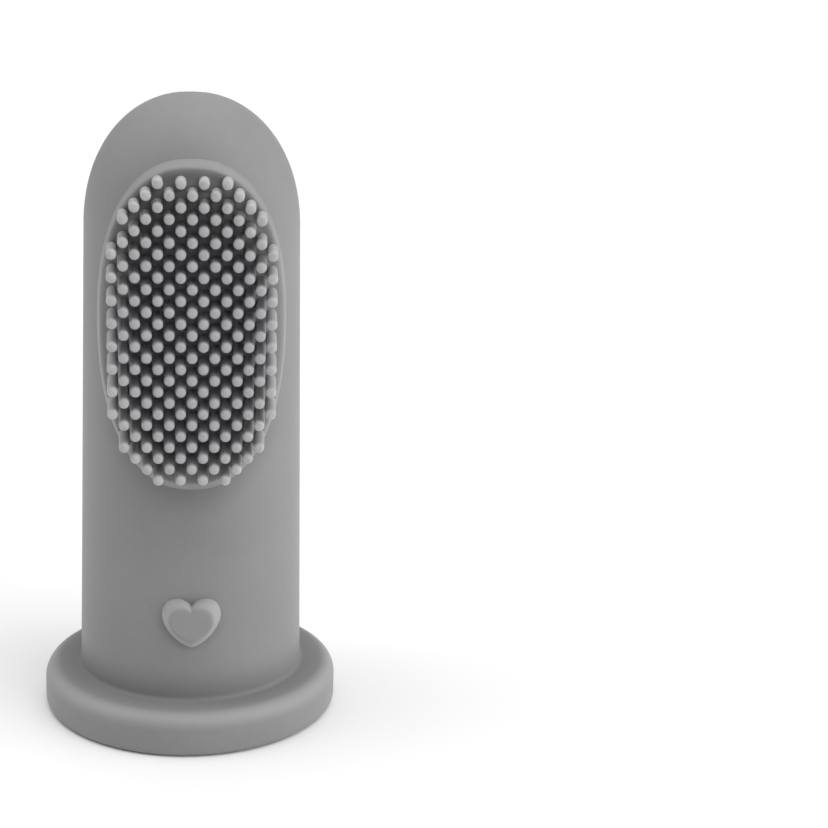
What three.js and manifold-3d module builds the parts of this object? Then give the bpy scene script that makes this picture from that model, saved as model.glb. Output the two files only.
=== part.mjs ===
// A finger toothbrush for cleaning a pet's teeth: a soft silicone thimble with a round foot flange.
// The front carries a rimmed oval pad of round bristles and a small raised heart, and the back
// carries rounded massage nubs. The frame's origin is the middle of the foot, +Z runs up the finger
// and the bristles point along -Y. Every length is in millimetres and every angle in degrees.
import * as THREE from "three";
import { mergeVertices } from "three/addons/utils/BufferGeometryUtils.js";
import Module from "manifold-3d";

// The sleeve tapers from its foot to its shoulder and ends in a half-ellipsoid dome.
const SLEEVE = { height: 53.4, footRadius: 10, shoulderRadius: 9.1, domeHeight: 11 };

// The finger's bore follows the sleeve's wall.
const BORE = { height: 51.6, footRadius: 8.2, shoulderRadius: 7.5, domeHeight: 9.2, mouthRound: 0.4 };

// The foot flange is a rounded disc whose short collar blends into the sleeve.
const FLANGE = { radius: 13, height: 3.6, topRound: 1.3, footRound: 0.2, collarRound: 0.5 };

// The bristle pad is a shallow oval recess in the sleeve's front, inside a raised rim.
const PAD = { middleZ: 35, recessDepth: 0.5 };
const RIM_OUTSIDE = { halfWidth: 7.65, halfHeight: 13.15, squareness: 2.4 };
const RIM_INSIDE = { halfWidth: 7.35, halfHeight: 12.5, squareness: 2.5 };
const RIM = { shoulderRise: 0.3, crestRise: 0.7, crestInset: 0.2, rootDepth: 0.2 };

// Bristles stand on a diamond grid: neighbours in a row are two steps apart, and so are rows in line.
const GRID = { step: 0.88, lastRow: 13, lastColumn: 7, halfRows: 13.9, halfColumns: 7.9, squareness: 2.5 };
const BRISTLE = { rootRadius: 0.44, tipRadius: 0.41, tipY: -12.95, rootDepth: 0.05 };
const STRIP = { width: 0.7, rise: 0.15, rootDepth: 0.2, endGap: 0.1 };

// Massage nubs stand in three staggered columns up the back.
const NUB = { radius: 0.88, rise: 0.92, round: 0.5, rootDepth: 0.4, pocketDepth: 0.6 };
const NUB_LAYOUT = { middleZ: 35.05, pitch: 4.74, sideAngle: 23.4, middleCount: 5, sideCount: 4 };

// The heart is a plain raised emblem with sloping flanks and a flat face.
const HEART = { middleZ: 10.55, halfWidth: 2.4, height: 4.15 };
const HEART_DEPTH = { backY: -9.15, shoulderY: -9.75, faceY: -10.55 };
const HEART_FACE_SHARE = 0.77;

// Each half of the heart's outline is two curves, from its tip to its widest point and on to its
// notch. Heights and handles are shares of the heart's half height, and spreads of its half width.
const HEART_CURVE = {
  notchHeight: 0.72,
  widestHeight: 0.32,
  handleSpread: 0.3,
  tipHandle: -0.98,
  bellyHandle: -0.3,
  lobeHandle: 1.06,
  notchHandle: 1.2,
};

// Every piece that sits in a pocket keeps this gap to the pocket's wall, and a cutting tool passes
// the surface that it opens by its reach.
const SEAT_GAP = 0.2;
const TOOL_REACH = 3;

// How many flat facets each kind of curve is given.
const FACETS = {
  round: 44,
  dome: 8,
  bristle: 6,
  nub: 10,
  arc: 3,
  oval: 48,
  ovalRings: 4,
  strip: 5,
  heart: 7,
};

const BODY_SILICONE = { color: 0x8c8c8d, roughness: 0.62, metalness: 0 };
const BRISTLE_SILICONE = { color: 0xb4b4b5, roughness: 0.55, metalness: 0 };

const wasm = await Module();
wasm.setup();

// ---------------------------------------------------------------- solids and meshes

// Makes a manifold solid of a closed geometry, turned right side out if it was inside out.
function solidOf(geometry) {
  const bare = geometry.clone();
  bare.deleteAttribute("normal");
  bare.deleteAttribute("uv");
  const merged = mergeVertices(bare, 1e-4);
  const triangles = new Uint32Array(merged.index.array);
  const vertProperties = merged.attributes.position.array;
  const made = new wasm.Manifold(new wasm.Mesh({ numProp: 3, vertProperties, triVerts: triangles }));
  if (made.volume() > 0) return made;
  return new wasm.Manifold(new wasm.Mesh({ numProp: 3, vertProperties, triVerts: triangles.reverse() }));
}

// Gives a manifold solid back as a three.js geometry.
function geometryOf(solid) {
  const { vertProperties, triVerts } = solid.getMesh();
  const geometry = new THREE.BufferGeometry();
  geometry.setAttribute("position", new THREE.BufferAttribute(new Float32Array(vertProperties), 3));
  geometry.setIndex(new THREE.BufferAttribute(new Uint32Array(triVerts), 1));
  geometry.computeVertexNormals();
  return geometry;
}

// Names a solid and gives it its own finish.
function meshOf(name, solid, finish) {
  const mesh = new THREE.Mesh(geometryOf(solid), new THREE.MeshStandardMaterial(finish));
  mesh.name = name;
  return mesh;
}

// Joins a list of solids into one.
function joined(solids) {
  return solids.reduce((whole, piece) => whole.add(piece));
}

// Turns a profile of [radius, z] points round the Z axis.
function turned(profile, segments) {
  const points = profile.map(([radius, z]) => new THREE.Vector2(radius, z));
  return solidOf(new THREE.LatheGeometry(points, segments).rotateX(Math.PI / 2));
}

// Skins closed loops of equally many points in order. The last loop joins the first when ring is
// true, and otherwise each end closes with a fan about the middle of its loop.
function lofted(loops, ring = false) {
  const count = loops[0].length;
  const points = loops.flat();
  const faces = [];
  const bands = ring ? loops.length : loops.length - 1;
  for (let band = 0; band < bands; band += 1) {
    const low = band * count;
    const high = ((band + 1) % loops.length) * count;
    for (let at = 0; at < count; at += 1) {
      const next = (at + 1) % count;
      faces.push(low + at, low + next, high + next);
      faces.push(low + at, high + next, high + at);
    }
  }
  if (!ring) {
    addFan(points, faces, 0, count, true);
    addFan(points, faces, (loops.length - 1) * count, count, false);
  }
  const geometry = new THREE.BufferGeometry();
  geometry.setAttribute("position", new THREE.Float32BufferAttribute(points.flat(), 3));
  geometry.setIndex(faces);
  return solidOf(geometry);
}

// Closes one loop of a loft with triangles about its middle point.
function addFan(points, faces, start, count, turnedBack) {
  const loop = points.slice(start, start + count);
  const middle = [0, 1, 2].map((axis) => loop.reduce((sum, point) => sum + point[axis], 0) / count);
  const hub = points.push(middle) - 1;
  for (let at = 0; at < count; at += 1) {
    const next = start + ((at + 1) % count);
    if (turnedBack) faces.push(hub, next, start + at);
    else faces.push(hub, start + at, next);
  }
}

// ---------------------------------------------------------------- the sleeve's surface

// Radius at height z of a wall that tapers to a shoulder and closes in a half-ellipsoid dome.
function wallRadius(wall, z) {
  const shoulderZ = wall.height - wall.domeHeight;
  if (z <= shoulderZ) return THREE.MathUtils.lerp(wall.footRadius, wall.shoulderRadius, z / shoulderZ);
  const rise = Math.min((z - shoulderZ) / wall.domeHeight, 1);
  return wall.shoulderRadius * Math.sqrt(1 - rise * rise);
}

// The point of the sleeve's front above (x, z), moved out along the radius by rise.
function frontPoint(x, z, rise) {
  const radius = wallRadius(SLEEVE, z) + rise;
  return [x, -Math.sqrt(Math.max(radius * radius - x * x, 0)), z];
}

// Profile points of a dome from its crown down to its shoulder.
function domeProfile(wall) {
  const points = [[0, wall.height]];
  for (let ring = FACETS.dome - 1; ring >= 0; ring -= 1) {
    const turn = (ring / FACETS.dome) * (Math.PI / 2);
    const z = wall.height - wall.domeHeight * (1 - Math.sin(turn));
    points.push([wall.shoulderRadius * Math.cos(turn), z]);
  }
  return points;
}

// Points of a quarter circle about (middleRadius, middleZ), between two angles in degrees.
function arc(middleRadius, middleZ, radius, from, to) {
  const points = [];
  for (let step = 0; step <= FACETS.arc; step += 1) {
    const turn = THREE.MathUtils.degToRad(THREE.MathUtils.lerp(from, to, step / FACETS.arc));
    points.push([middleRadius + radius * Math.cos(turn), middleZ + radius * Math.sin(turn)]);
  }
  return points;
}

// ---------------------------------------------------------------- ovals on the sleeve's front

// One loop that runs round a superellipse on the sleeve's front, scaled and raised.
function ovalLoop(oval, scale, rise) {
  const loop = [];
  const power = 2 / oval.squareness;
  for (let step = 0; step < FACETS.oval; step += 1) {
    const turn = (step / FACETS.oval) * 2 * Math.PI;
    const across = Math.sign(Math.cos(turn)) * Math.abs(Math.cos(turn)) ** power;
    const up = Math.sign(Math.sin(turn)) * Math.abs(Math.sin(turn)) ** power;
    const z = PAD.middleZ + oval.halfHeight * scale * up;
    loop.push(frontPoint(oval.halfWidth * scale * across, z, rise));
  }
  return loop;
}

// The same oval, larger by a margin all round.
function grown(oval, margin) {
  return { ...oval, halfWidth: oval.halfWidth + margin, halfHeight: oval.halfHeight + margin };
}

// A closed plate that follows the sleeve's front inside an oval, between two rises.
function ovalPlate(oval, innerRise, outerRise) {
  const scales = [];
  for (let ring = 1; ring <= FACETS.ovalRings; ring += 1) scales.push(ring / FACETS.ovalRings);
  const inner = scales.map((scale) => ovalLoop(oval, scale, innerRise));
  const outer = scales.map((scale) => ovalLoop(oval, scale, outerRise)).reverse();
  return lofted([...inner, ...outer]);
}

// Half the width that an oval leaves at height z.
function ovalHalfWidth(oval, z) {
  const up = Math.abs(z - PAD.middleZ) / oval.halfHeight;
  return oval.halfWidth * (1 - up ** oval.squareness) ** (1 / oval.squareness);
}

// ---------------------------------------------------------------- the pieces

const COLLAR_Z = FLANGE.height + FLANGE.collarRound;

// The hollow thimble, with the recess and pockets that its trim stands in.
function fingerSleeve() {
  const inside = domeProfile(BORE).reverse();
  const foot = [[wallRadius(SLEEVE, COLLAR_Z), COLLAR_Z], [wallRadius(BORE, COLLAR_Z), COLLAR_Z]];
  const tube = turned([...domeProfile(SLEEVE), ...foot, ...inside], FACETS.round);
  const recess = ovalPlate(grown(RIM_OUTSIDE, SEAT_GAP), -PAD.recessDepth, TOOL_REACH);
  const heartPocket = heartSolid(HEART_DEPTH.backY, HEART_DEPTH.faceY, HEART_DEPTH.faceY, SEAT_GAP, 1);
  const pockets = nubPlaces().map((place) => placedNub(place, nubPocket()));
  return tube.subtract(joined([recess, heartPocket, ...pockets]));
}

// The foot flange: a ring with the finger's mouth through it and rounded edges.
function baseFlange() {
  const { radius, height, topRound, footRound, collarRound } = FLANGE;
  const collarRadius = wallRadius(SLEEVE, COLLAR_Z);
  const mouth = wallRadius(BORE, 0);
  const profile = [
    ...arc(mouth + BORE.mouthRound, BORE.mouthRound, BORE.mouthRound, 180, 270),
    ...arc(radius - footRound, footRound, footRound, -90, 0),
    ...arc(radius - topRound, height - topRound, topRound, 0, 90),
    ...arc(collarRadius + collarRound, height + collarRound, collarRound, 270, 180),
    [wallRadius(BORE, COLLAR_Z), COLLAR_Z],
  ];
  return turned([...profile, profile[0]], FACETS.round);
}

// The raised lip round the bristles, rooted in the recess.
function padRim() {
  const crest = grown(RIM_OUTSIDE, -RIM.crestInset);
  return lofted(
    [
      ovalLoop(RIM_OUTSIDE, 1, -RIM.rootDepth),
      ovalLoop(RIM_OUTSIDE, 1, RIM.shoulderRise),
      ovalLoop(crest, 1, RIM.crestRise),
      ovalLoop(RIM_INSIDE, 1, RIM.crestRise),
      ovalLoop(RIM_INSIDE, 1, -RIM.rootDepth),
    ],
    true,
  );
}

// Sideways places of the bristles in one row of the grid, which lies inside a superellipse.
function bristleColumns(row) {
  const columns = [];
  for (let column = -GRID.lastColumn; column <= GRID.lastColumn; column += 1) {
    const inStep = (column - row) % 2 === 0;
    const across = (Math.abs(column) / GRID.halfColumns) ** GRID.squareness;
    const up = (Math.abs(row) / GRID.halfRows) ** GRID.squareness;
    if (inStep && across + up <= 1) columns.push(column * GRID.step);
  }
  return columns;
}

// The curved root strip that joins the bristles of one row.
function rootStrip(z) {
  const radius = wallRadius(SLEEVE, z);
  const outerRadius = radius + STRIP.rise;
  const innerRadius = radius - STRIP.rootDepth;
  const farEdge = Math.abs(z - PAD.middleZ) + STRIP.width / 2;
  const edge = ovalHalfWidth(RIM_INSIDE, PAD.middleZ + farEdge);
  const halfTurn = Math.asin((edge - STRIP.endGap) / outerRadius);
  const shape = new THREE.Shape();
  shape.absarc(0, 0, outerRadius, -Math.PI / 2 - halfTurn, -Math.PI / 2 + halfTurn, false);
  shape.absarc(0, 0, innerRadius, -Math.PI / 2 + halfTurn, -Math.PI / 2 - halfTurn, true);
  const settings = { depth: STRIP.width, bevelEnabled: false, curveSegments: FACETS.strip };
  return solidOf(new THREE.ExtrudeGeometry(shape, settings).translate(0, 0, z - STRIP.width / 2));
}

// One tapered bristle from the strip's middle out to the plane of the tips.
function bristle(x, z) {
  const rootY = frontPoint(x, z, -BRISTLE.rootDepth)[1];
  const length = rootY - BRISTLE.tipY;
  const shaft = new THREE.CylinderGeometry(BRISTLE.tipRadius, BRISTLE.rootRadius, length, FACETS.bristle);
  return solidOf(shaft.rotateX(Math.PI).translate(x, BRISTLE.tipY + length / 2, z));
}

// One row of the brush: its bristles moulded onto their root strip.
function bristleRow(row) {
  const z = PAD.middleZ + row * GRID.step;
  return joined([rootStrip(z), ...bristleColumns(row).map((x) => bristle(x, z))]);
}

// Height and turn about the Z axis of each massage nub, from the top of the back down.
function nubPlaces() {
  const places = [];
  for (let row = 0; row < NUB_LAYOUT.middleCount + NUB_LAYOUT.sideCount; row += 1) {
    const z = NUB_LAYOUT.middleZ + ((NUB_LAYOUT.middleCount - 1) / 2 - row / 2) * NUB_LAYOUT.pitch;
    if (row % 2 === 0) places.push({ z, turn: 0 });
    else places.push({ z, turn: NUB_LAYOUT.sideAngle }, { z, turn: -NUB_LAYOUT.sideAngle });
  }
  return places;
}

// A nub that stands on +Z with its root below z = 0, where the sleeve's surface will be.
function nubPeg() {
  const { radius, rise, round, rootDepth } = NUB;
  const crown = arc(radius - round, rise - round, round, 0, 90);
  return turned([[0, -rootDepth], [radius, -rootDepth], ...crown, [0, rise]], FACETS.nub);
}

// The blind pocket that a nub's root sits in.
function nubPocket() {
  const radius = NUB.radius + SEAT_GAP;
  const profile = [[0, -NUB.pocketDepth], [radius, -NUB.pocketDepth], [radius, NUB.rise], [0, NUB.rise]];
  return turned(profile, FACETS.nub);
}

// A nub or its pocket laid against the sleeve's back, pointing out along the radius.
function placedNub(place, solid) {
  const stand = new THREE.Matrix4().makeRotationX(-Math.PI / 2);
  const out = new THREE.Matrix4().makeTranslation(0, wallRadius(SLEEVE, place.z), place.z);
  const round = new THREE.Matrix4().makeRotationZ(THREE.MathUtils.degToRad(place.turn));
  return solid.transform(round.multiply(out).multiply(stand).elements);
}

// The outline of the heart in the XZ plane, as [x, z] points about its own middle.
function heartOutline(margin, share) {
  const wide = HEART.halfWidth;
  const top = HEART.height / 2;
  const near = HEART_CURVE.handleSpread * wide;
  const widest = HEART_CURVE.widestHeight * top;
  const tipHandle = HEART_CURVE.tipHandle * top;
  const bellyHandle = HEART_CURVE.bellyHandle * top;
  const lobeHandle = HEART_CURVE.lobeHandle * top;
  const notchHandle = HEART_CURVE.notchHandle * top;
  const shape = new THREE.Shape();
  shape.moveTo(0, -top);
  shape.bezierCurveTo(near, tipHandle, wide, bellyHandle, wide, widest);
  shape.bezierCurveTo(wide, lobeHandle, near, notchHandle, 0, HEART_CURVE.notchHeight * top);
  shape.bezierCurveTo(-near, notchHandle, -wide, lobeHandle, -wide, widest);
  shape.bezierCurveTo(-wide, bellyHandle, -near, tipHandle, 0, -top);
  const points = shape.getPoints(FACETS.heart).slice(0, -1);
  return points.map((point) => {
    const reach = point.length();
    return [(point.x * (reach * share + margin)) / reach, (point.y * (reach * share + margin)) / reach];
  });
}

// A heart from backY out to faceY whose flanks stand straight up to shoulderY and slope from there.
function heartSolid(backY, shoulderY, faceY, margin, faceShare) {
  const loop = (y, share) => heartOutline(margin, share).map(([x, z]) => [x, y, HEART.middleZ + z]);
  return lofted([loop(backY, 1), loop(shoulderY, 1), loop(faceY - margin, faceShare)]);
}

// ---------------------------------------------------------------- the assembly

// "01", "02" and so on, so that names sort in order.
function numbered(name, number) {
  return `${name}_${String(number).padStart(2, "0")}`;
}

const fingerToothbrush = new THREE.Group();
fingerToothbrush.add(meshOf("finger_sleeve", fingerSleeve(), BODY_SILICONE));
fingerToothbrush.add(meshOf("base_flange", baseFlange(), BODY_SILICONE));
fingerToothbrush.add(meshOf("pad_rim", padRim(), BODY_SILICONE));
const heart = heartSolid(HEART_DEPTH.backY, HEART_DEPTH.shoulderY, HEART_DEPTH.faceY, 0, HEART_FACE_SHARE);
fingerToothbrush.add(meshOf("heart_emblem", heart, BODY_SILICONE));

for (let row = GRID.lastRow; row >= -GRID.lastRow; row -= 1) {
  const name = numbered("bristle_row", GRID.lastRow - row + 1);
  fingerToothbrush.add(meshOf(name, bristleRow(row), BRISTLE_SILICONE));
}

nubPlaces().forEach((place, index) => {
  const name = numbered("massage_nub", index + 1);
  fingerToothbrush.add(meshOf(name, placedNub(place, nubPeg()), BRISTLE_SILICONE));
});

export default fingerToothbrush;
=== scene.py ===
"""A finger toothbrush for cleaning a pet's teeth, dressed in moulded silicone.

The brush is a soft thimble with a round foot flange. Its front carries a rimmed oval pad of round
bristles and a small raised heart, and its back carries rounded massage nubs. Every piece is built
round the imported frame, in metres, with +Z up the finger and the bristles along -Y.
"""

import logging
import math
from dataclasses import dataclass
from enum import Enum
from typing import Any, Callable, Sequence, Union

import bpy
import bmesh
from mathutils import Matrix, Vector


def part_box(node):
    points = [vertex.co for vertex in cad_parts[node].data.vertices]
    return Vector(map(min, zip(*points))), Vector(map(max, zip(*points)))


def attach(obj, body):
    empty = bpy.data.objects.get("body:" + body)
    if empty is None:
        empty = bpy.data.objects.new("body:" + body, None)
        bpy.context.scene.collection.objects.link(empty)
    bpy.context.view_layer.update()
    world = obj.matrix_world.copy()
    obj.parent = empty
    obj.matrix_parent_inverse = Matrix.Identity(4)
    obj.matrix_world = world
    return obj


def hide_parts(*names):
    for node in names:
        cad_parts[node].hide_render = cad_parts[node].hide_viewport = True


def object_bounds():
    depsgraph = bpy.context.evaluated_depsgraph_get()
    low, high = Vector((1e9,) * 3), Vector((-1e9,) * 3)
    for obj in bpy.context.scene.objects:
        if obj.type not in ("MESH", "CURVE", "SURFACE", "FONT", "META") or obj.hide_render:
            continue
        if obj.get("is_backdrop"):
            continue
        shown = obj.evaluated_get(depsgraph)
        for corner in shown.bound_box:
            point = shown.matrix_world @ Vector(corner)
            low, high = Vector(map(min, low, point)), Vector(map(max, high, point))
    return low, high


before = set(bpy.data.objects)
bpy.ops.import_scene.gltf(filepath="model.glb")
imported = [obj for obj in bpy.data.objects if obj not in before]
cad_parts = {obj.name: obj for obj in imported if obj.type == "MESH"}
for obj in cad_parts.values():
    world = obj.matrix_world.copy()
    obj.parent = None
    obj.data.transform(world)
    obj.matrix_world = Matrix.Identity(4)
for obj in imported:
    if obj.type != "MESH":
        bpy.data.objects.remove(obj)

logging.basicConfig(level=logging.INFO, format="%(name)s: %(message)s")
LOG = logging.getLogger("finger_toothbrush")

MM = 0.001
BODY = "root"

# The moulded skin stands this much inside the frame's boxes, and the heart this much under its own.
DOME_TRIM = 0.06 * MM
PAD_TRIM = 0.18 * MM
HEART_DROP = 0.08 * MM

Ring = tuple[float, float]
Number = Union[int, float, "Signal"]


class Slot(Enum):
    """The material slots of the record."""

    SLEEVE = "sleeve_silicone"
    BRISTLE = "bristle_silicone"


class End(Enum):
    """How an end of a turned skin is made: a point, a flat disc or left open."""

    POLE = "pole"
    DISC = "disc"
    OPEN = "open"


# ------------------------------------------------------------------ shader maths and nodes


class Signal:
    """A value in a material that ordinary arithmetic turns into Math nodes."""

    def __init__(self, board: "NodeBoard", socket: bpy.types.NodeSocket) -> None:
        """Wraps a socket.

        Args:
            board: The board whose tree holds the socket.
            socket: The output socket that carries the value.
        """
        self.board = board
        self.socket = socket

    def __add__(self, other: Number) -> "Signal":
        """Returns self + other."""
        return self.board.maths("ADD", self, other)

    def __radd__(self, other: Number) -> "Signal":
        """Returns other + self."""
        return self.board.maths("ADD", other, self)

    def __sub__(self, other: Number) -> "Signal":
        """Returns self - other."""
        return self.board.maths("SUBTRACT", self, other)

    def __rsub__(self, other: Number) -> "Signal":
        """Returns other - self."""
        return self.board.maths("SUBTRACT", other, self)

    def __mul__(self, other: Number) -> "Signal":
        """Returns self * other."""
        return self.board.maths("MULTIPLY", self, other)

    def __truediv__(self, other: Number) -> "Signal":
        """Returns self / other."""
        return self.board.maths("DIVIDE", self, other)


class NodeBoard:
    """The node tree of a material or of the sky, with one method that makes any node."""

    def __init__(self, owner: Union[bpy.types.Material, bpy.types.World]) -> None:
        """Empties the owner's node tree.

        Args:
            owner: The material or world whose nodes are laid out.
        """
        owner.use_nodes = True
        self.owner = owner
        self.tree = owner.node_tree
        self.tree.nodes.clear()

    def node(self, kind: str, settings: dict[str, Any], **inputs: Any) -> bpy.types.Node:
        """Makes a node, sets its settings and then its sockets.

        Args:
            kind: The node's type, such as ShaderNodeTexNoise.
            settings: Attributes of the node, set before any socket.
            **inputs: Values, signals or sockets by socket name, with _ for a space.

        Returns:
            The new node.
        """
        made = self.tree.nodes.new(kind)
        for key, value in settings.items():
            setattr(made, key, value)
        for key, value in inputs.items():
            self.feed(made.inputs[key.replace("_", " ")], value)
        return made

    def feed(self, socket: bpy.types.NodeSocket, value: Any) -> None:
        """Links a signal or socket to an input, or sets its value.

        Args:
            socket: The input socket.
            value: A signal, an output socket or a plain value.
        """
        source = value.socket if isinstance(value, Signal) else value
        if isinstance(source, bpy.types.NodeSocket):
            self.tree.links.new(source, socket)
        else:
            socket.default_value = source

    def maths(self, operation: str, first: Number, second: Number) -> Signal:
        """Adds one Math node.

        Args:
            operation: The node's operation.
            first: Its first value.
            second: Its second value.

        Returns:
            The node's result.
        """
        made = self.node("ShaderNodeMath", {"operation": operation})
        self.feed(made.inputs[0], first)
        self.feed(made.inputs[1], second)
        return Signal(self, made.outputs[0])

    def split(self, where: Any) -> list[Signal]:
        """Takes coordinates apart into x, y and z."""
        made = self.node("ShaderNodeSeparateXYZ", {}, Vector=where)
        return [Signal(self, made.outputs[axis]) for axis in "XYZ"]

    def noise(self, where: Any, grain: float, detail: float, roughness: float = 0.5) -> Signal:
        """Reads a noise pattern whose lumps are about one grain across.

        Args:
            where: The coordinates' socket.
            grain: Size of a lump, in metres.
            detail: Octaves of finer noise.
            roughness: How strong the finer octaves are.

        Returns:
            The noise, about 0.5 in the middle.
        """
        made = self.node("ShaderNodeTexNoise", {"noise_dimensions": "3D"}, Vector=where,
                         Scale=1 / grain, Detail=detail, Roughness=roughness)
        return Signal(self, made.outputs["Fac"])

    def ramp(self, value: Signal, low: float, high: float) -> Signal:
        """Turns a value's range from low to high into a smooth 0 to 1.

        Args:
            value: The value.
            low: Where the result is 0.
            high: Where it is 1.

        Returns:
            The result.
        """
        made = self.node("ShaderNodeMapRange", {"interpolation_type": "SMOOTHSTEP"}, Value=value)
        made.inputs["From Min"].default_value = low
        made.inputs["From Max"].default_value = high
        return Signal(self, made.outputs["Result"])

    def blend(self, share: Signal, first: Any, second: Any) -> bpy.types.NodeSocket:
        """Mixes two colours.

        Args:
            share: The second colour's share, from 0 to 1.
            first: The first colour, as a socket or a plain colour.
            second: The second colour.

        Returns:
            The mixed colour's socket.
        """
        made = self.node("ShaderNodeMix", {"data_type": "RGBA"})
        self.feed(made.inputs[0], share)
        self.feed(made.inputs[6], first)
        self.feed(made.inputs[7], second)
        return made.outputs[2]

    def covered_by(self, shader: bpy.types.Node) -> None:
        """Makes a shader the material's surface."""
        output = self.node("ShaderNodeOutputMaterial", {})
        self.feed(output.inputs["Surface"], shader.outputs["BSDF"])


def grey(level: float) -> tuple[float, float, float, float]:
    """Gives a neutral grey of a linear level, with full alpha."""
    return (level, level, level, 1.0)


@dataclass(frozen=True)
class Patch:
    """An upright patch on the sleeve's front, such as the bristle pad or the heart.

    Attributes:
        middle_z: Height of its middle.
        half_width: Half its width.
        half_height: Half its height.
    """

    middle_z: float
    half_width: float
    half_height: float

    @classmethod
    def of_node(cls, name: str, drop: float = 0.0, trim: float = 0.0) -> "Patch":
        """Takes a patch from the box of a frame node that is centred on X = 0.

        Args:
            name: The node's name.
            drop: How far under the box's middle the patch lies.
            trim: How much less than the box's its half height is.

        Returns:
            The patch.
        """
        low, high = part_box(name)
        return cls((low.z + high.z) / 2 - drop, (high.x - low.x) / 2, (high.z - low.z) / 2 - trim)


@dataclass(frozen=True)
class Tint:
    """A place where the silicone's tone changes.

    Attributes:
        share: The tone there, as a share of the silicone's own.
        coolness: Share by which the blue exceeds the red and green there.
    """

    share: float
    coolness: float = 0.0

    def mask(self, board: NodeBoard, where: Any) -> Signal:
        """Builds a signal that is 1 where the tone has changed and 0 where it hasn't.

        Args:
            board: The material's nodes.
            where: The coordinates' socket.

        Returns:
            The signal.
        """
        raise NotImplementedError


@dataclass(frozen=True)
class PatchTint(Tint):
    """A part of the sleeve's front that follows the oval of a patch.

    Attributes:
        patch: The patch.
        core_share: Where the change is complete, as a share of the patch's half sizes.
        rim_share: Where it has died away.
        below: How far below the patch's middle it sets in. The default is above everything.
        lower_fade: Height over which it sets in there.
        front_fade: Distance in front of the axis over which it sets in.
    """

    patch: Patch = Patch(0.0, 1.0, 1.0)
    core_share: float = 0.5
    rim_share: float = 0.95
    below: float = -20 * MM
    lower_fade: float = 5 * MM
    front_fade: float = 2 * MM

    def mask(self, board: NodeBoard, where: Any) -> Signal:
        """Builds the oval, on the front alone.

        Args:
            board: The material's nodes.
            where: The coordinates' socket.

        Returns:
            The signal.
        """
        x, y, z = board.split(where)
        across, drop = x / self.patch.half_width, self.patch.middle_z - z
        up = drop / self.patch.half_height
        away = board.maths("POWER", across * across + up * up, 0.5)
        front = board.ramp(0.0 - y, 0.0, self.front_fade)
        lower = board.ramp(drop, self.below, self.below + self.lower_fade)
        return (1.0 - board.ramp(away, self.core_share, self.rim_share)) * front * lower


@dataclass(frozen=True)
class DepthTint(Tint):
    """Whatever lies behind a plane that faces -Y.

    Attributes:
        start_y: Where the change starts.
        length: How far behind that it is complete.
        ripple: How unevenly it starts, in metres.
        ripple_size: Size of that unevenness across the surface, in metres.
    """

    start_y: float = 0.0
    length: float = 1 * MM
    ripple: float = 0.0
    ripple_size: float = 0.8 * MM

    def mask(self, board: NodeBoard, where: Any) -> Signal:
        """Builds the depth behind the plane.

        Args:
            board: The material's nodes.
            where: The coordinates' socket.

        Returns:
            The signal.
        """
        y = board.split(where)[1]
        uneven = board.noise(where, self.ripple_size, 2) * self.ripple
        return board.ramp(y + uneven, self.start_y, self.start_y + self.length)


@dataclass(frozen=True)
class RingTint(Tint):
    """The neighbourhood of a level ring round the finger, such as a crease painted with shade or a
    rounded edge painted with a highlight.

    Attributes:
        radius: The ring's radius.
        z: Its height.
        reach: Distance from the ring at which the change has died away.
    """

    radius: float = 10 * MM
    z: float = 0.0
    reach: float = 2 * MM

    def mask(self, board: NodeBoard, where: Any) -> Signal:
        """Builds the nearness to the ring.

        Args:
            board: The material's nodes.
            where: The coordinates' socket.

        Returns:
            The signal.
        """
        x, y, z = board.split(where)
        across, up = board.maths("POWER", x * x + y * y, 0.5) - self.radius, z - self.z
        away = board.maths("POWER", across * across + up * up, 0.5)
        return 1.0 - board.ramp(away, 0.0, self.reach)


@dataclass(frozen=True)
class SharedTint(Tint):
    """The overlap of two other tints.

    Attributes:
        parts: The two tints, whose own shares don't count.
    """

    parts: tuple[Tint, ...] = ()

    def mask(self, board: NodeBoard, where: Any) -> Signal:
        """Builds the overlap.

        Args:
            board: The material's nodes.
            where: The coordinates' socket.

        Returns:
            The signal.
        """
        first, second = (part.mask(board, where) for part in self.parts)
        return first * second


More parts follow.
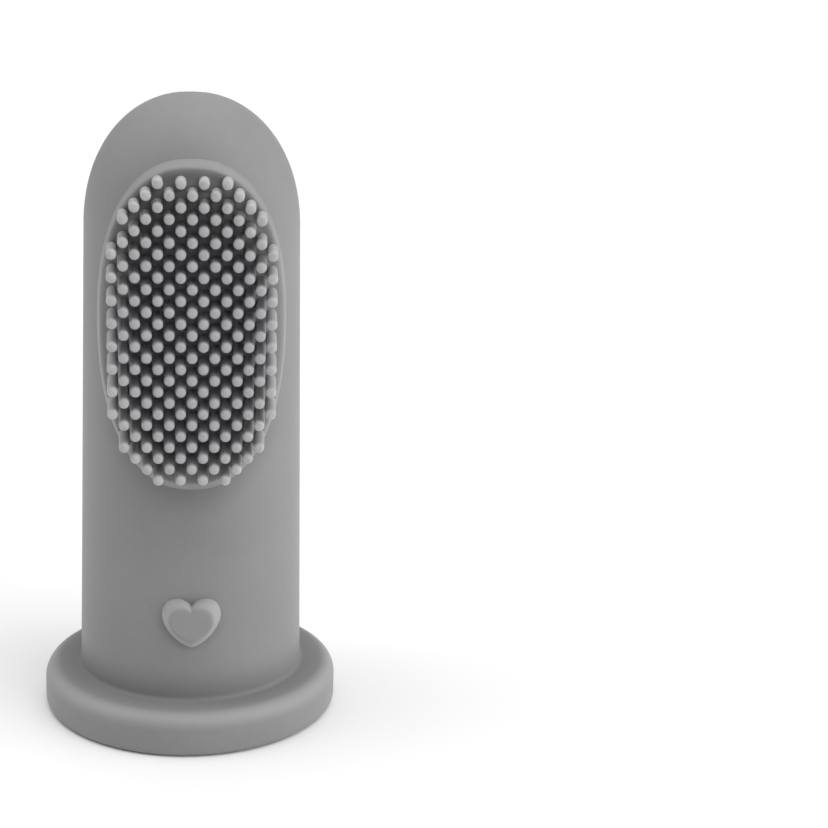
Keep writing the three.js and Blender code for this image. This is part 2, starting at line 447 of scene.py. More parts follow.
@dataclass(frozen=True)
class SiliconeFinish:
    """Matte moulded silicone: a soft clouded colour over the fine grain of a blasted mould.

    Attributes:
        name: The material's name.
        shade: Linear grey of the silicone.
        tints: Places where its tone changes, each over the ones before, mostly painted shade and painted
            light.
        coolness: Share by which its blue exceeds its red and green.
        clouding: Share by which the colour drifts from place to place.
        cloud_size: Size of the drift's larger lumps, in metres. The finer ones are an eighth of it.
        fine_share: The finer lumps' share of the drift.
        drift_range: Noise at which the drift is darkest and lightest.
        roughness: Middle roughness of the surface.
        smear_size: Size of the handled, shinier areas, in metres.
        smear_depth: How much the roughness changes over them.
        grain: Size of the mould's grain, in metres.
        grain_depth: Depth of that grain, in metres.
        grain_shine: How much the roughness changes with the grain.
        glow: Weight of light carried under the surface.
        glow_reach: How far that light travels, in metres.
        bloom: Weight of the soft sheen at grazing angles.
        bloom_roughness: Roughness of that sheen.
        refraction: Refractive index of silicone.
    """

    name: str
    shade: float
    tints: tuple[Tint, ...] = ()
    coolness: float = 0.0
    clouding: float = 0.035
    cloud_size: float = 7 * MM
    fine_share: float = 0.4
    drift_range: tuple[float, float] = (0.3, 0.7)
    roughness: float = 0.56
    smear_size: float = 3.5 * MM
    smear_depth: float = 0.16
    grain: float = 0.16 * MM
    grain_depth: float = 0.004 * MM
    grain_shine: float = 0.08
    glow: float = 0.15
    glow_reach: float = 0.5 * MM
    bloom: float = 0.12
    bloom_roughness: float = 0.45
    refraction: float = 1.41

    def tone(self, share: float, coolness: float) -> tuple[float, float, float, float]:
        """Gives the silicone's colour.

        Args:
            share: Its level, as a share of the silicone's own.
            coolness: Share by which its blue exceeds its red and green.

        Returns:
            The colour, with full alpha.
        """
        level = self.shade * share
        return (level, level, level * (1 + coolness), 1.0)

    def colour(self, board: NodeBoard, where: Any) -> Any:
        """Builds the clouded and tinted colour.

        Args:
            board: The material's nodes.
            where: The coordinates' socket.

        Returns:
            The colour's socket.
        """
        broad = board.noise(where, self.cloud_size, 2)
        fine = board.noise(where, self.cloud_size / 8, 3)
        cloud = broad * (1 - self.fine_share) + fine * self.fine_share
        dark = self.tone(1 - self.clouding, self.coolness)
        light = self.tone(1 + self.clouding, self.coolness)
        colour = board.blend(board.ramp(cloud, *self.drift_range), dark, light)
        for tint in self.tints:
            tinted = self.tone(tint.share, tint.coolness)
            colour = board.blend(tint.mask(board, where), colour, tinted)
        return colour

    def material(self) -> bpy.types.Material:
        """Makes the material.

        Returns:
            The finished material.
        """
        board = NodeBoard(bpy.data.materials.new(self.name))
        where = board.node("ShaderNodeTexCoord", {}).outputs["Object"]
        grain = board.noise(where, self.grain, 3, 0.6)
        smears = board.noise(where, self.smear_size, 4, 0.6)
        matt = self.roughness + (smears - 0.5) * self.smear_depth + (grain - 0.5) * self.grain_shine
        bump = board.node("ShaderNodeBump", {}, Strength=1.0, Distance=self.grain_depth, Height=grain)
        shader = board.node("ShaderNodeBsdfPrincipled", {"subsurface_method": "RANDOM_WALK"},
                            Base_Color=self.colour(board, where), Roughness=matt,
                            Normal=bump.outputs["Normal"], IOR=self.refraction,
                            Subsurface_Weight=self.glow, Subsurface_Scale=self.glow_reach,
                            Subsurface_Radius=(1.0, 1.0, 1.0), Sheen_Weight=self.bloom,
                            Sheen_Roughness=self.bloom_roughness)
        board.covered_by(shader)
        return board.owner


# ------------------------------------------------------------------ the modelling bench


class Bench:
    """Selecting, opening and closing pieces, and the skins that several pieces start from."""

    @staticmethod
    def clear() -> None:
        """Leaves object mode and deselects everything."""
        if bpy.context.object and bpy.context.object.mode != "OBJECT":
            bpy.ops.object.mode_set(mode="OBJECT")
        bpy.ops.object.select_all(action="DESELECT")

    @staticmethod
    def take(*pieces: bpy.types.Object) -> None:
        """Selects some pieces alone, the first of them active.

        Args:
            *pieces: The pieces.
        """
        Bench.clear()
        for piece in pieces:
            piece.select_set(True)
        bpy.context.view_layer.objects.active = pieces[0]

    @staticmethod
    def open_up(piece: bpy.types.Object, everything: bool = False) -> None:
        """Takes a piece into edit mode.

        Args:
            piece: The piece.
            everything: Whether all of it is selected there, or nothing.
        """
        Bench.take(piece)
        bpy.ops.object.mode_set(mode="EDIT")
        bpy.ops.mesh.select_all(action="SELECT" if everything else "DESELECT")

    @staticmethod
    def pick(piece: bpy.types.Object, wanted: Callable[[Vector], bool]) -> None:
        """Selects the vertices of an open piece whose place passes a test, with their edges and faces.

        Args:
            piece: The piece, in edit mode.
            wanted: Tells whether a vertex at that place is picked.
        """
        mesh = bmesh.from_edit_mesh(piece.data)
        for vertex in mesh.verts:
            vertex.select_set(wanted(vertex.co))
        mesh.select_flush(True)
        bmesh.update_edit_mesh(piece.data)

    @staticmethod
    def finish_mesh(piece: bpy.types.Object) -> None:
        """Merges doubles, turns the faces outwards, shades smoothly and settles the piece at the origin.

        Args:
            piece: The piece.
        """
        Bench.open_up(piece, everything=True)
        bpy.ops.mesh.remove_doubles(threshold=1e-7)
        bpy.ops.mesh.normals_make_consistent(inside=False)
        bpy.ops.object.mode_set(mode="OBJECT")
        bpy.ops.object.transform_apply(location=True, rotation=True, scale=True)
        bpy.ops.object.shade_smooth_by_angle(angle=math.pi)

    @staticmethod
    def turned(name: str, rings: Sequence[Ring], sides: int, start: End, end: End) -> bpy.types.Object:
        """Draws a round skin up through rings, each one the last extruded and resized.

        Args:
            name: The piece's name.
            rings: (radius, z) of each ring in turn.
            sides: Vertices round each ring.
            start: How the first ring ends, as a point or open.
            end: How the last ring ends, as a point or a disc.

        Returns:
            The new piece.
        """
        fill = "TRIFAN" if start is End.POLE else "NOTHING"
        radius, z = rings[0]
        Bench.clear()
        bpy.ops.mesh.primitive_circle_add(vertices=sides, radius=radius, fill_type=fill,
                                          location=(0, 0, z))
        piece = bpy.context.object
        piece.name = piece.data.name = name
        bpy.ops.object.transform_apply(location=True)
        Bench.open_up(piece, everything=True)
        if start is End.POLE:
            bpy.ops.mesh.region_to_loop()
        for radius_next, z_next in rings[1:]:
            step = {"value": (0, 0, z_next - z)}
            bpy.ops.mesh.extrude_edges_move(TRANSFORM_OT_translate=step)
            share = radius_next / radius
            bpy.ops.transform.resize(value=(share, share, 1), center_override=(0, 0, z_next))
            radius, z = radius_next, z_next
        if end is End.POLE:
            bpy.ops.mesh.merge(type="CENTER")
        else:
            bpy.ops.mesh.edge_face_add()
        bpy.ops.object.mode_set(mode="OBJECT")
        return piece

    @staticmethod
    def drawn_over(name: str, around: int, levels: int, form: Callable[[float, int], Vector],
                   capped: bool) -> bpy.types.Object:
        """Extrudes a circle into a tube and lays each of its loops over a form.

        Args:
            name: The piece's name.
            around: Vertices round each loop.
            levels: Number of loops.
            form: Gives the place of a loop's point from its turn, in radians, and its level.
            capped: Whether the last loop is filled and the first left open. If not, the two are joined.

        Returns:
            The new piece.
        """
        Bench.clear()
        bpy.ops.mesh.primitive_circle_add(vertices=around, radius=1, fill_type="NOTHING")
        piece = bpy.context.object
        piece.name = piece.data.name = name
        Bench.open_up(piece, everything=True)
        for _ in range(levels - 1):
            bpy.ops.mesh.extrude_edges_move(TRANSFORM_OT_translate={"value": (0, 0, 1)})
        if capped:
            bpy.ops.mesh.edge_face_add()
            bpy.ops.mesh.poke()
        else:
            Bench.pick(piece, lambda place: place.z < 0.5 or place.z > levels - 1.5)
            bpy.ops.mesh.bridge_edge_loops()
        bpy.ops.object.mode_set(mode="OBJECT")
        for vertex in piece.data.vertices:
            if math.hypot(vertex.co.x, vertex.co.y) < 0.5:
                loop = [form(2 * math.pi * k / around, levels - 1) for k in range(around)]
                vertex.co = sum(loop, Vector()) / around
            else:
                vertex.co = form(math.atan2(vertex.co.y, vertex.co.x), round(vertex.co.z))
        return piece

    @staticmethod
    def copied(template: bpy.types.Object, name: str,
               place: Callable[[Vector], Vector]) -> bpy.types.Object:
        """Copies a piece with a mesh of its own and lays each point where place says.

        Args:
            template: The piece to copy.
            name: The copy's name.
            place: Gives a point's new place from its place in the template.

        Returns:
            The copy.
        """
        copy = bpy.data.objects.new(name, template.data.copy())
        copy.data.name = name
        bpy.context.scene.collection.objects.link(copy)
        for vertex in copy.data.vertices:
            vertex.co = place(vertex.co)
        return copy

    @staticmethod
    def joined(pieces: Sequence[bpy.types.Object], name: str) -> bpy.types.Object:
        """Joins pieces into the first of them and names it.

        Args:
            pieces: The pieces.
            name: The joined piece's name.

        Returns:
            The joined piece.
        """
        Bench.take(*pieces)
        if len(pieces) > 1:
            bpy.ops.object.join()
        pieces[0].name = pieces[0].data.name = name
        return pieces[0]


def arc(middle: Ring, radius: float, start: float, stop: float, steps: int) -> list[Ring]:
    """Gives ring places along an arc of a profile.

    Args:
        middle: The arc's middle, as (radius from the axis, z).
        radius: The arc's radius.
        start: Its first angle in degrees, 0 pointing away from the axis and 90 up.
        stop: Its last angle in degrees.
        steps: How many stretches it is cut into.

    Returns:
        The rings, both ends included.
    """
    turns = [math.radians(start + (stop - start) * k / steps) for k in range(steps + 1)]
    return [(middle[0] + radius * math.cos(turn), middle[1] + radius * math.sin(turn)) for turn in turns]


def curve_point(handles: Sequence[tuple[float, float]], share: float) -> tuple[float, float]:
    """Gives a point of a cubic curve.

    Args:
        handles: The curve's start, its two handles and its end.
        share: How far along it the point lies, from 0 to 1.

    Returns:
        The point.
    """
    rest = 1 - share
    weights = (rest ** 3, 3 * rest * rest * share, 3 * rest * share * share, share ** 3)
    across = sum(weight * handle[0] for weight, handle in zip(weights, handles))
    up = sum(weight * handle[1] for weight, handle in zip(weights, handles))
    return across, up


def dress(piece: bpy.types.Object, finish: bpy.types.Material, slot: Slot, *nodes: str) -> None:
    """Finishes a piece's mesh, gives it its silicone and has it stand for its frame nodes.

    Args:
        piece: The piece.
        finish: Its material.
        slot: The record's slot for that material; not used.
        *nodes: The frame nodes that it stands for.
    """
    Bench.finish_mesh(piece)
    piece.data.materials.clear()
    piece.data.materials.append(finish)
    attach(piece, BODY)
    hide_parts(*nodes)
    LOG.info("%s: %d faces, for %s", piece.name, len(piece.data.polygons), ", ".join(nodes))


# ------------------------------------------------------------------ the brush


@dataclass
class Thimble:
    """The sleeve and its foot flange, one seamless hollow skin.

    Attributes:
        height: Top of the dome.
        flange_radius: Outer radius of the foot.
        foot_radius: Sleeve radius where its taper meets the floor.
        shoulder_radius: Sleeve radius where the dome starts.
        dome_height: Height of the dome.
        dome_power: Power of the dome's outline: 2 is an ellipse, and more is fuller.
        flange_height: Thickness of the foot.
        flange_round: Rounding of the foot's upper edge.
        floor_round: Rounding of its lower edge.
        neck_round: Hollow rounding between foot and sleeve.
        wall: Thickness of the sleeve's wall.
        mouth_round: Rounding of the bore's mouth.
        sides: Facets round the sleeve.
    """

    height: float
    flange_radius: float
    foot_radius: float = 9.92 * MM
    shoulder_radius: float = 9.1 * MM
    dome_height: float = 11.2 * MM
    dome_power: float = 2.12
    flange_height: float = 3.6 * MM
    flange_round: float = 1.3 * MM
    floor_round: float = 0.6 * MM
    neck_round: float = 0.4 * MM
    wall: float = 1.7 * MM
    mouth_round: float = 0.4 * MM
    sides: int = 192

    @property
    def shoulder_z(self) -> float:
        """Height at which the dome starts."""
        return self.height - self.dome_height

    def radius(self, z: float) -> float:
        """Gives the sleeve's outer radius.

        Args:
            z: The height.

        Returns:
            The radius there.
        """
        if z <= self.shoulder_z:
            share = z / self.shoulder_z
            return self.foot_radius + (self.shoulder_radius - self.foot_radius) * share
        rise = min((z - self.shoulder_z) / self.dome_height, 1.0)
        return self.shoulder_radius * (1 - rise ** self.dome_power) ** (1 / self.dome_power)

    def front(self, x: float, z: float, rise: float = 0.0) -> Vector:
        """Gives a point of the sleeve's front.

        Args:
            x: Its place across the sleeve.
            z: Its height.
            rise: How far it stands off the skin.

        Returns:
            The point.
        """
        reach = self.radius(z) + rise
        return Vector((x, -math.sqrt(max(reach * reach - x * x, 0.0)), z))

    def rings(self) -> list[Ring]:
        """Lists the skin's rings from the bore's crown round the foot to the dome's top.

        Returns:
            (radius, z) of each ring in turn.
        """
        bore_height = self.height - self.wall
        bore_dome = self.dome_height - self.wall
        bore_foot = self.foot_radius - self.wall
        bore_shoulder = self.shoulder_radius - self.wall
        turns = [math.radians(90 - 5 * k) for k in range(1, 18)]
        crown = [(bore_shoulder * math.cos(turn), bore_height - bore_dome * (1 - math.sin(turn)))
                 for turn in turns]
        neck_z = self.flange_height + self.neck_round
        neck = (self.radius(neck_z) + self.neck_round, neck_z)
        top = (self.flange_radius - self.flange_round, self.flange_height - self.flange_round)
        floor = (self.flange_radius - self.floor_round, self.floor_round)
        mouth = (bore_foot + self.mouth_round, self.mouth_round)
        foot = arc(mouth, self.mouth_round, 180, 270, 4) + arc(floor, self.floor_round, -90, 0, 4)
        flange = foot + arc(top, self.flange_round, 0, 90, 9) + arc(neck, self.neck_round, 270, 180, 6)
        climb = [neck_z + (self.shoulder_z - neck_z) * k / 24 for k in range(1, 24)]
        sleeve = [(self.radius(z), z) for z in climb]
        tops = [self.shoulder_z + self.dome_height * math.sin(math.radians(3 * k)) for k in range(30)]
        dome = [(self.radius(z), z) for z in tops]
        return crown + flange + sleeve + dome

    def build(self, finish: bpy.types.Material) -> None:
        """Turns the skin and dresses it.

        Args:
            finish: The silicone.
        """
        skin = Bench.turned("thimble_skin", self.rings(), self.sides, End.POLE, End.POLE)
        dress(skin, finish, Slot.SLEEVE, "finger_sleeve", "base_flange")


@dataclass(frozen=True)
class Oval(Patch):
    """A patch with the outline of a superellipse.

    Attributes:
        squareness: Its power: 2 is an ellipse, and more is squarer.
    """

    squareness: float = 2.0

    def point(self, turn: float) -> tuple[float, float]:
        """Gives a point of the outline.

        Args:
            turn: Its turn round the middle, in radians.

        Returns:
            Its x and z.
        """
        across, up = math.cos(turn), math.sin(turn)
        power = 2 / self.squareness
        x = math.copysign(abs(across) ** power, across) * self.half_width
        return x, self.middle_z + math.copysign(abs(up) ** power, up) * self.half_height


@dataclass
class PadRim:
    """The raised lip that grows out of the skin round the bristles.

    Attributes:
        thimble: The sleeve it stands on.
        patch: The pad.
        outlines: The lip's outer foot, crest and inner foot, each as how far it stands out of the patch
            sideways and upwards, and the squareness of its oval.
        around: Facets round the oval.
        section: Each loop of the lip as its place among the outlines, 0 being the first, and its rise
            off the skin.
    """

    thimble: Thimble
    patch: Patch
    outlines: tuple[tuple[float, float, float], ...] = (
        (0.06 * MM, 0.1 * MM, 2.3), (-0.24 * MM, -0.52 * MM, 2.35), (-1.15 * MM, -1.4 * MM, 2.45),
    )
    around: int = 256
    section: tuple[Ring, ...] = (
        (-0.3, -0.25 * MM), (-0.15, -0.02 * MM), (0.05, 0.06 * MM), (0.25, 0.20 * MM),
        (0.45, 0.38 * MM), (0.65, 0.54 * MM), (0.85, 0.65 * MM), (1.0, 0.69 * MM), (1.12, 0.67 * MM),
        (1.28, 0.61 * MM), (1.46, 0.52 * MM), (1.64, 0.42 * MM), (1.82, 0.32 * MM), (2.0, 0.23 * MM),
        (2.4, 0.12 * MM), (3.0, 0.03 * MM), (3.5, -0.3 * MM),
    )

    @property
    def ovals(self) -> list[Oval]:
        """Gives the outlines as ovals.

        Returns:
            The ovals of the lip's outer foot, crest and inner foot.
        """
        pad = self.patch
        return [Oval(pad.middle_z, pad.half_width + sideways, pad.half_height + upwards, squareness)
                for sideways, upwards, squareness in self.outlines]

    def form(self, turn: float, level: int) -> Vector:
        """Gives the place of a loop's point on the sleeve.

        Args:
            turn: The point's turn round the pad, in radians.
            level: The loop's number in the section.

        Returns:
            The point.
        """
        place, rise = self.section[level]
        index = 0 if place < 1 else 1
        (x_from, z_from), (x_to, z_to) = (oval.point(turn) for oval in self.ovals[index:index + 2])
        share = place - index
        x, z = x_from + (x_to - x_from) * share, z_from + (z_to - z_from) * share
        return self.thimble.front(x, z, rise)

    def build(self, finish: bpy.types.Material) -> None:
        """Lays the lip round the pad and dresses it.

        Args:
            finish: The silicone.
        """
        rim = Bench.drawn_over("pad_lip", self.around, len(self.section), self.form, capped=False)
        dress(rim, finish, Slot.SLEEVE, "pad_rim")


@dataclass
class BristleField:
    """The rows of round bristles, all pulled straight out to one plane of tips.

    Attributes:
        thimble: The sleeve they grow out of.
        tip_y: The plane of the tips.
        step: Half the pitch of the diamond grid.
        half_rows: Where the field ends upwards, in steps.
        half_columns: Where it ends sideways, in steps.
        squareness: Power of the field's outline.
        splay: How far out the roots stand, as a factor on the grid's X.
        gather: How far in the tips lean, as a factor on the grid's X.
        root_radius: Radius of a shaft near the skin.
        tip_radius: Radius of a shaft at its end.
        sides: Facets round a bristle.
        root_zone: How much of a bristle's foot follows the skin.
        length: Length of the bristle that is copied, which each copy's shaft is drawn out from.
        sunk: How far its foot reaches under the skin.
        flare: How much wider than the shaft its foot is there, as a factor.
        collar: Where the flare ends, as a factor on the shaft's radius and a height.
        tip_round: Length of its rounded tip.
        tip_crown: Length of the last, flatter part of that rounding.
        crown_shares: Radius where that part starts and where it ends, as shares of the tip's.
    """

    thimble: Thimble
    tip_y: float
    step: float
    half_rows: float = 13.9
    half_columns: float = 7.9
    squareness: float = 2.5
    splay: float = 1.04
    gather: float = 0.988
    root_radius: float = 0.43 * MM
    tip_radius: float = 0.415 * MM
    sides: int = 12
    root_zone: float = 1.0 * MM
    length: float = 3.0 * MM
    sunk: float = 0.3 * MM
    flare: float = 1.3
    collar: Ring = (1.02, 0.22 * MM)
    tip_round: float = 0.26 * MM
    tip_crown: float = 0.08 * MM
    crown_shares: tuple[float, float] = (0.86, 0.5)

    def columns(self, row: int) -> list[float]:
        """Gives the sideways places of a row's bristles.

        Args:
            row: The row's number, 0 being the middle one.

        Returns:
            The x of each bristle.
        """
        reach = int(self.half_columns)
        steps = [c for c in range(-reach, reach + 1) if (c - row) % 2 == 0]
        up = (abs(row) / self.half_rows) ** self.squareness
        inside = [c for c in steps if (abs(c) / self.half_columns) ** self.squareness + up <= 1]
        return [c * self.step for c in inside]

    def template(self) -> bpy.types.Object:
        """Turns one bristle that stands on +Z, its root flared and its tip rounded.

        Returns:
            The bristle, which copies are made of.
        """
        root, tip, top = self.root_radius, self.tip_radius, self.length
        collar, collar_z = self.collar
        wide, narrow = self.crown_shares
        foot = [(self.flare * root, -self.sunk), (collar * root, collar_z)]
        crown = [(tip, top - self.tip_round), (wide * tip, top - self.tip_crown), (narrow * tip, top)]
        return Bench.turned("bristle_template", foot + crown, self.sides, End.OPEN, End.DISC)

    def placed(self, x: float, z: float) -> Callable[[Vector], Vector]:
        """Gives the rule that stands a bristle on the pad, its root following the skin.

        Args:
            x: The bristle's place across the grid.
            z: Its height.

        Returns:
            A function that gives a point's place from its place in the template.
        """

        def place(point: Vector) -> Vector:
            """Lays one point of the bristle.

            Args:
                point: Its place in the template.

            Returns:
                Its place on the brush.
            """
            up = z + point.y
            if point.z < self.root_zone:
                return self.thimble.front(self.splay * x + point.x, up) - Vector((0, point.z, 0))
            return Vector((self.gather * x + point.x, self.tip_y + self.length - point.z, up))

        return place

    def build(self, finish: bpy.types.Material) -> None:
        """Stands every row on the sleeve.

        Args:
            finish: The paler silicone.
        """
        template = self.template()
        rows = frame_nodes("bristle_row")
        for index, node in enumerate(rows):
            low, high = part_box(node)
            z = (low.z + high.z) / 2
            places = self.columns(len(rows) // 2 - index)
            bristles = [Bench.copied(template, f"bristle_{index}_{k}", self.placed(x, z))
                        for k, x in enumerate(places)]
            row = Bench.joined(bristles, node.replace("bristle_row", "bristles"))
            dress(row, finish, Slot.BRISTLE, node)
        bpy.data.objects.remove(template)


@dataclass
class MassageNubs:
    """The rounded pegs up the sleeve's back.

    Attributes:
        thimble: The sleeve they stand on.
        radius: Radius of a peg.
        rise: How far it stands off the skin.
        crown: Rounding of its top.
        fillet: Hollow rounding at its root.
        bedding: How far the root's rounding lies under the skin.
        sunk: How far the foot reaches under the skin.
        sides: Facets round a peg.
    """

    thimble: Thimble
    radius: float = 0.88 * MM
    rise: float = 0.92 * MM
    crown: float = 0.7 * MM
    fillet: float = 0.16 * MM
    bedding: float = 0.07 * MM
    sunk: float = 0.3 * MM
    sides: int = 40

    def template(self) -> bpy.types.Object:
        """Turns one nub that stands on +Z with the skin at z = 0.

        Returns:
            The nub, which copies are made of.
        """
        outer = self.radius + self.fillet
        root = arc((outer, self.fillet - self.bedding), self.fillet, 270, 180, 4)
        top = arc((self.radius - self.crown, self.rise - self.crown), self.crown, 0, 82, 9)
        return Bench.turned("nub_template", [(outer, -self.sunk)] + root + top, self.sides,
                            End.OPEN, End.POLE)

    def build(self, finish: bpy.types.Material) -> None:
        """Stands a nub where each frame nub is.

        Args:
            finish: The paler silicone.
        """
        template = self.template()
        for node in frame_nodes("massage_nub"):
            low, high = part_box(node)
            middle = (low + high) / 2
            turn = math.atan2(-middle.x, middle.y)
            out = Matrix.Translation((0, self.thimble.radius(middle.z), middle.z))
            stand = Matrix.Rotation(turn, 4, "Z") @ out @ Matrix.Rotation(-math.pi / 2, 4, "X")
            nub = Bench.copied(template, node.replace("massage_", ""), lambda point, m=stand: m @ point)
            dress(nub, finish, Slot.BRISTLE, node)
        bpy.data.objects.remove(template)


@dataclass
class HeartEmblem:
    """The plain raised heart, with sloping flanks and a flat face.

    Each half of its outline is two cubic curves, from its tip to its widest point and on to its notch.
    Their handles are given as shares of the heart's half width and half height.

    Attributes:
        thimble: The sleeve it stands on.
        patch: The skin that it covers.
        face_y: Plane of its face.
        around: Points round its outline.
        face_wide: The face's width, as a share of the heart's.
        face_tall: The face's height, as a share of the heart's.
        widest: Height of the widest point.
        notch: Height of the notch at the skin.
        face_notch: Height of the notch on the face.
        spread: How far from the middle the handles at tip and notch stand.
        tip_handle: Height of the handle at the tip.
        belly_handle: Height of the handle below the widest point.
        lobe_handle: Height of the handle above it.
        notch_handle: Height of the handle at the notch.
        flank: Each loop as its place, from 0 at the skin to 1 at the edge of the face, and its share
            of the rise.
    """

    thimble: Thimble
    patch: Patch
    face_y: float
    around: int = 120
    face_wide: float = 0.71
    face_tall: float = 0.61
    widest: float = 0.32
    notch: float = 0.72
    face_notch: float = 0.9
    spread: float = 0.3
    tip_handle: float = -0.98
    belly_handle: float = -0.3
    lobe_handle: float = 1.06
    notch_handle: float = 1.2
    flank: tuple[tuple[float, float], ...] = (
        (-0.18, -0.30), (-0.07, -0.02), (-0.01, 0.05), (0.03, 0.18), (0.07, 0.32), (0.14, 0.44),
        (0.26, 0.56), (0.43, 0.66), (0.61, 0.77), (0.77, 0.87), (0.9, 0.955), (1.0, 1.0), (1.3, 1.0),
        (1.9, 1.0),
    )

    def half_outline(self, place: float) -> list[tuple[float, float]]:
        """Draws the right half from the tip up to the notch, about the heart's middle.

        Args:
            place: How far in the loop lies, from 0 at the skin to 1 at the edge of the face.

        Returns:
            The points of the half outline.
        """
        inward = min(max(place, 0.0), 1.0)
        wide = self.patch.half_width * (1 - (1 - self.face_wide) * place)
        top = self.patch.half_height * (1 - (1 - self.face_tall) * place)
        notch = (self.notch + (self.face_notch - self.notch) * inward) * top
        side = (wide, self.widest * top)
        low_handles = (self.spread * wide, self.tip_handle * top), (wide, self.belly_handle * top)
        high_handles = (wide, self.lobe_handle * top), (self.spread * wide, self.notch_handle * top)
        belly = ((0, -top), *low_handles, side)
        lobe = (side, *high_handles, (0, notch))
        steps = self.around // 4
        points = [curve_point(belly, k / steps) for k in range(steps)]
        return points + [curve_point(lobe, k / steps) for k in range(steps + 1)]

    def form(self, turn: float, level: int) -> Vector:
        """Gives the place of a loop's point.

        Args:
            turn: The point's turn round the heart, in radians.
            level: The loop's number in the flank.

        Returns:
            The point.
        """
        place, rise = self.flank[level]
        half = self.half_outline(place)
        index = round((turn + math.pi / 2) * self.around / (2 * math.pi)) % self.around
        mirrored = index > self.around // 2
        x, z = half[self.around - index if mirrored else index]
        skin = self.thimble.front(x, self.patch.middle_z + z)
        return Vector((-x if mirrored else x, skin.y - rise * (skin.y - self.face_y), skin.z))

    def build(self, finish: bpy.types.Material) -> None:
        """Raises the heart and dresses it.

        Args:
            finish: The silicone.
        """
        heart = Bench.drawn_over("heart", self.around, len(self.flank), self.form, capped=True)
        dress(heart, finish, Slot.SLEEVE, "heart_emblem")


# ------------------------------------------------------------------ the studio


@dataclass(frozen=True)
class SkyLobe:
    """A soft patch of brightness in the sky.

    Attributes:
        towards: Direction of its middle.
        strength: Its brightness there.
        tightness: Power of its fall-off: more is narrower.
    """

    towards: tuple[float, float, float]
    strength: float
    tightness: float = 2.0

    def glow(self, board: NodeBoard, where: Any) -> Signal:
        """Builds the patch's brightness over the sky.

        Args:
            board: The sky's nodes.
            where: The direction's socket.

        Returns:
            The brightness.
        """
        aim = Vector(self.towards).normalized()
        dot = board.node("ShaderNodeVectorMath", {"operation": "DOT_PRODUCT"})
        board.feed(dot.inputs[0], where)
        board.feed(dot.inputs[1], tuple(aim))
        facing = board.maths("MAXIMUM", Signal(board, dot.outputs["Value"]), 0.0)
        return board.maths("POWER", facing, self.tightness) * self.strength


@dataclass
class Studio:
    """A plain pale floor, a sky whose bright patches light the brush, and the camera.

    Attributes:
        floor_level: Height of the floor.
        floor_size: Side of the floor.
        floor_shade: Linear grey of the floor.
        floor_roughness: Roughness of the floor.
        lobes: The sky's bright patches.
        lens: The camera's focal length in millimetres.
        sensor: Its sensor's width in millimetres.
        camera_place: Where the camera stands, in metres.
        pitch: Its tilt below the horizon, in degrees.
        pan: Its turn to the right of the brush, in degrees.
        roll: Its turn about its own axis, in degrees.
        shift: Sideways shift of its lens, as a share of the frame.
    """

    floor_level: float
    floor_size: float = 4.0
    floor_shade: float = 0.885
    floor_roughness: float = 0.75
    lobes: tuple[SkyLobe, ...] = (
        SkyLobe((0.0, 0.0, 1.0), 2.45, 10.0),
        SkyLobe((0.0, 0.5, 0.8), 0.8, 8.0),
        SkyLobe((1.0, 0.0, 0.0), 3.0, 8.0),
        SkyLobe((0.6, -0.5, 0.6), 2.9, 8.0),
        SkyLobe((-1.0, 0.0, 0.0), 0.65, 8.0),
        SkyLobe((-0.7, 0.0, 0.7), 1.85, 8.0),
    )
    lens: float = 57.07
    sensor: float = 36.0
    camera_place: tuple[float, float, float] = (0.0, -0.112, 0.05177)
    pitch: float = 12.95
    pan: float = 4.876
    roll: float = 0.17
    shift: float = 0.1329

    def floor(self) -> None:
        """Lays the floor."""
        Bench.clear()
        bpy.ops.mesh.primitive_plane_add(size=self.floor_size, location=(0, 0, self.floor_level))
        floor = bpy.context.object
        floor.name = "studio_floor"
        board = NodeBoard(bpy.data.materials.new("pale_floor"))
        shader = board.node("ShaderNodeBsdfPrincipled", {}, Base_Color=grey(self.floor_shade),
                            Roughness=self.floor_roughness)
        board.covered_by(shader)
        floor.data.materials.append(board.owner)
        floor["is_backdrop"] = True

    def sky(self) -> None:
        """Hangs a sky that looks plain white to the camera and lights the brush with its patches."""
        world = bpy.data.worlds.new("studio_sky")
        board = NodeBoard(world)
        where = board.node("ShaderNodeTexCoord", {}).outputs["Generated"]
        first, *others = (lobe.glow(board, where) for lobe in self.lobes)
        light = sum(others, first)
        seen = board.node("ShaderNodeLightPath", {}).outputs["Is Camera Ray"]
        lamp = board.node("ShaderNodeBackground", {}, Color=grey(1.0), Strength=light)
        plain = board.node("ShaderNodeBackground", {}, Color=grey(1.0), Strength=1.0)
        mix = board.node("ShaderNodeMixShader", {}, Fac=seen)
        board.feed(mix.inputs[1], lamp.outputs["Background"])
        board.feed(mix.inputs[2], plain.outputs["Background"])
        output = board.node("ShaderNodeOutputWorld", {})
        board.feed(output.inputs["Surface"], mix.outputs["Shader"])
        bpy.context.scene.world = world

    def camera(self) -> None:
        """Stands the camera and makes it the scene's own."""
        data = bpy.data.cameras.new("camera")
        data.lens = self.lens
        data.sensor_width = self.sensor
        data.shift_x = self.shift
        data.clip_start = 1 * MM
        camera = bpy.data.objects.new("camera", data)
        tilt = Matrix.Rotation(math.radians(90 - self.pitch), 4, "X")
        turn = Matrix.Rotation(math.radians(-self.pan), 4, "Y")
        roll = Matrix.Rotation(math.radians(self.roll), 4, "Z")
        camera.matrix_world = Matrix.Translation(self.camera_place) @ tilt @ turn @ roll
        bpy.context.scene.collection.objects.link(camera)
        bpy.context.scene.camera = camera


# ------------------------------------------------------------------ the whole scene


def frame_nodes(start: str) -> list[str]:
    """Lists the frame's nodes whose names begin with a word.

    Args:
        start: The word.

    Returns:
        The names, in order.
    """
    return sorted(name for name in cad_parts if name.startswith(start))


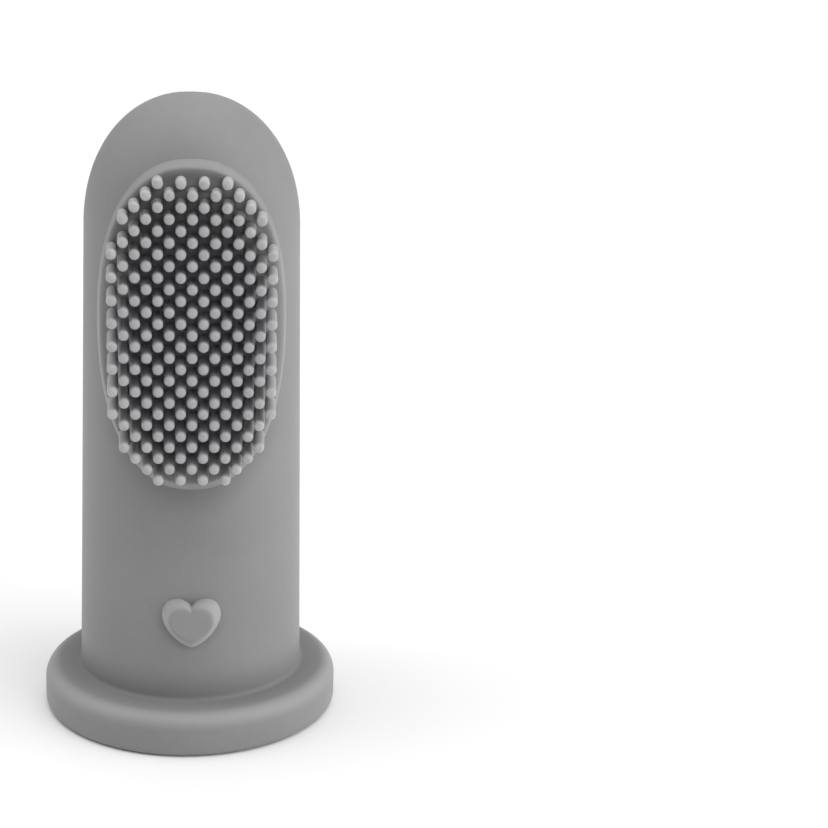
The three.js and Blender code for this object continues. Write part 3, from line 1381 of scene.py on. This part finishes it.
def sleeve_finish(pad: Patch, heart: Patch) -> SiliconeFinish:
    """Mixes the mid-grey silicone of sleeve and foot.

    Args:
        pad: The bristle pad.
        heart: The heart.

    Returns:
        The finish, with a painted highlight on the foot's edge and painted shade in its crease, under
        the pad and round the heart.
    """
    # Painted shade: the crease between foot and sleeve is painted darker, as shade gathers there.
    crease = RingTint(0.8, radius=10.3 * MM, z=4.0 * MM, reach=2.8 * MM)
    # Painted highlight: the foot's rounded upper edge is painted paler, as the light catches it.
    edge = RingTint(1.28, radius=12.5 * MM, z=3.2 * MM, reach=1.1 * MM)
    # Painted shadow: the skin just below the bristle pad is painted darker, as the bristles shade it.
    under_pad_painted_shadow = PatchTint(0.8, patch=pad, core_share=0.98, rim_share=1.25, below=5 * MM)
    # Painted shade: a darker halo is painted on the skin round the heart's foot.
    heart_painted_halo = PatchTint(0.88, patch=heart, core_share=0.85, rim_share=1.3)
    return SiliconeFinish("sleeve_silicone", 0.235, (crease, edge, under_pad_painted_shadow, heart_painted_halo))


def heart_finish(face_y: float) -> SiliconeFinish:
    """Mixes the heart's silicone.

    Args:
        face_y: Plane of the heart's face.

    Returns:
        The finish, with painted light on the flanks, which are painted paler than the face.
    """
    # Painted highlight: the heart's sloping flanks are painted paler, as light catches them more than
    # the face.
    flanks = DepthTint(1.33, start_y=face_y + 0.01 * MM, length=0.25 * MM)
    return SiliconeFinish("heart_silicone", 0.255, (flanks,))


def bristle_finish(pad: Patch, tip_y: float) -> SiliconeFinish:
    """Mixes the pale silicone of the bristles.

    Args:
        pad: The bristle pad.
        tip_y: Plane of the tips.

    Returns:
        The finish, warm at the pad's edge and darker and cooler in its middle, with painted shade down
        the bristles behind their tips that is deepest at their roots in the pad's middle.
    """
    cool_middle = PatchTint(0.9, coolness=0.06, patch=pad, core_share=0.6, rim_share=1.0)
    # Painted shade: the bristles are painted darker behind their tips, as little light reaches down
    # between them.
    painted_shaft_shade = DepthTint(0.85, start_y=tip_y + 0.25 * MM, length=0.5 * MM)
    # Painted shade: the bristles are painted dark and slightly blue towards their roots in the pad's
    # middle, as almost no light gets down there.
    roots = DepthTint(1.0, start_y=tip_y + 0.3 * MM, length=1.9 * MM, ripple=0.5 * MM)
    painted_root_shade = SharedTint(0.9, coolness=0.1, parts=(roots, PatchTint(1.0, patch=pad)))
    return SiliconeFinish("bristle_silicone", 0.41, (cool_middle, painted_shaft_shade, painted_root_shade), glow=0.25,
                          coolness=-0.03, clouding=0.12, cloud_size=1.0 * MM)


def main() -> None:
    """Builds the brush and its studio."""
    cad_low, cad_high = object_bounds()
    flange_low, flange_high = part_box("base_flange")
    pad = Patch.of_node("pad_rim", trim=PAD_TRIM)
    heart = Patch.of_node("heart_emblem", drop=HEART_DROP)
    heart_face_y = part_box("heart_emblem")[0].y
    tip_y = min(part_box(name)[0].y for name in frame_nodes("bristle_row"))
    upper_row, lower_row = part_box("bristle_row_13"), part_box("bristle_row_14")
    step = (upper_row[0].z + upper_row[1].z - lower_row[0].z - lower_row[1].z) / 2

    sleeve_silicone = sleeve_finish(pad, heart).material()
    # Painted light: the lip is the sleeve's silicone painted paler, as its raised crest catches the
    # light.
    lip_silicone = SiliconeFinish("lip_silicone", 0.25).material()
    heart_silicone = heart_finish(heart_face_y).material()
    bristle_silicone = bristle_finish(pad, tip_y).material()
    nub_silicone = SiliconeFinish("nub_silicone", 0.46, glow=0.25, cloud_size=2 * MM).material()

    thimble = Thimble(height=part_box("finger_sleeve")[1].z - DOME_TRIM,
                      flange_radius=(flange_high.x - flange_low.x) / 2)
    thimble.build(sleeve_silicone)
    PadRim(thimble, pad).build(lip_silicone)
    BristleField(thimble, tip_y, step).build(bristle_silicone)
    MassageNubs(thimble).build(nub_silicone)
    HeartEmblem(thimble, heart, heart_face_y).build(heart_silicone)

    studio = Studio(floor_level=cad_low.z)
    studio.floor()
    studio.sky()
    studio.camera()
    bpy.context.scene.view_settings.view_transform = "Standard"


if __name__ == "__main__":
    main()
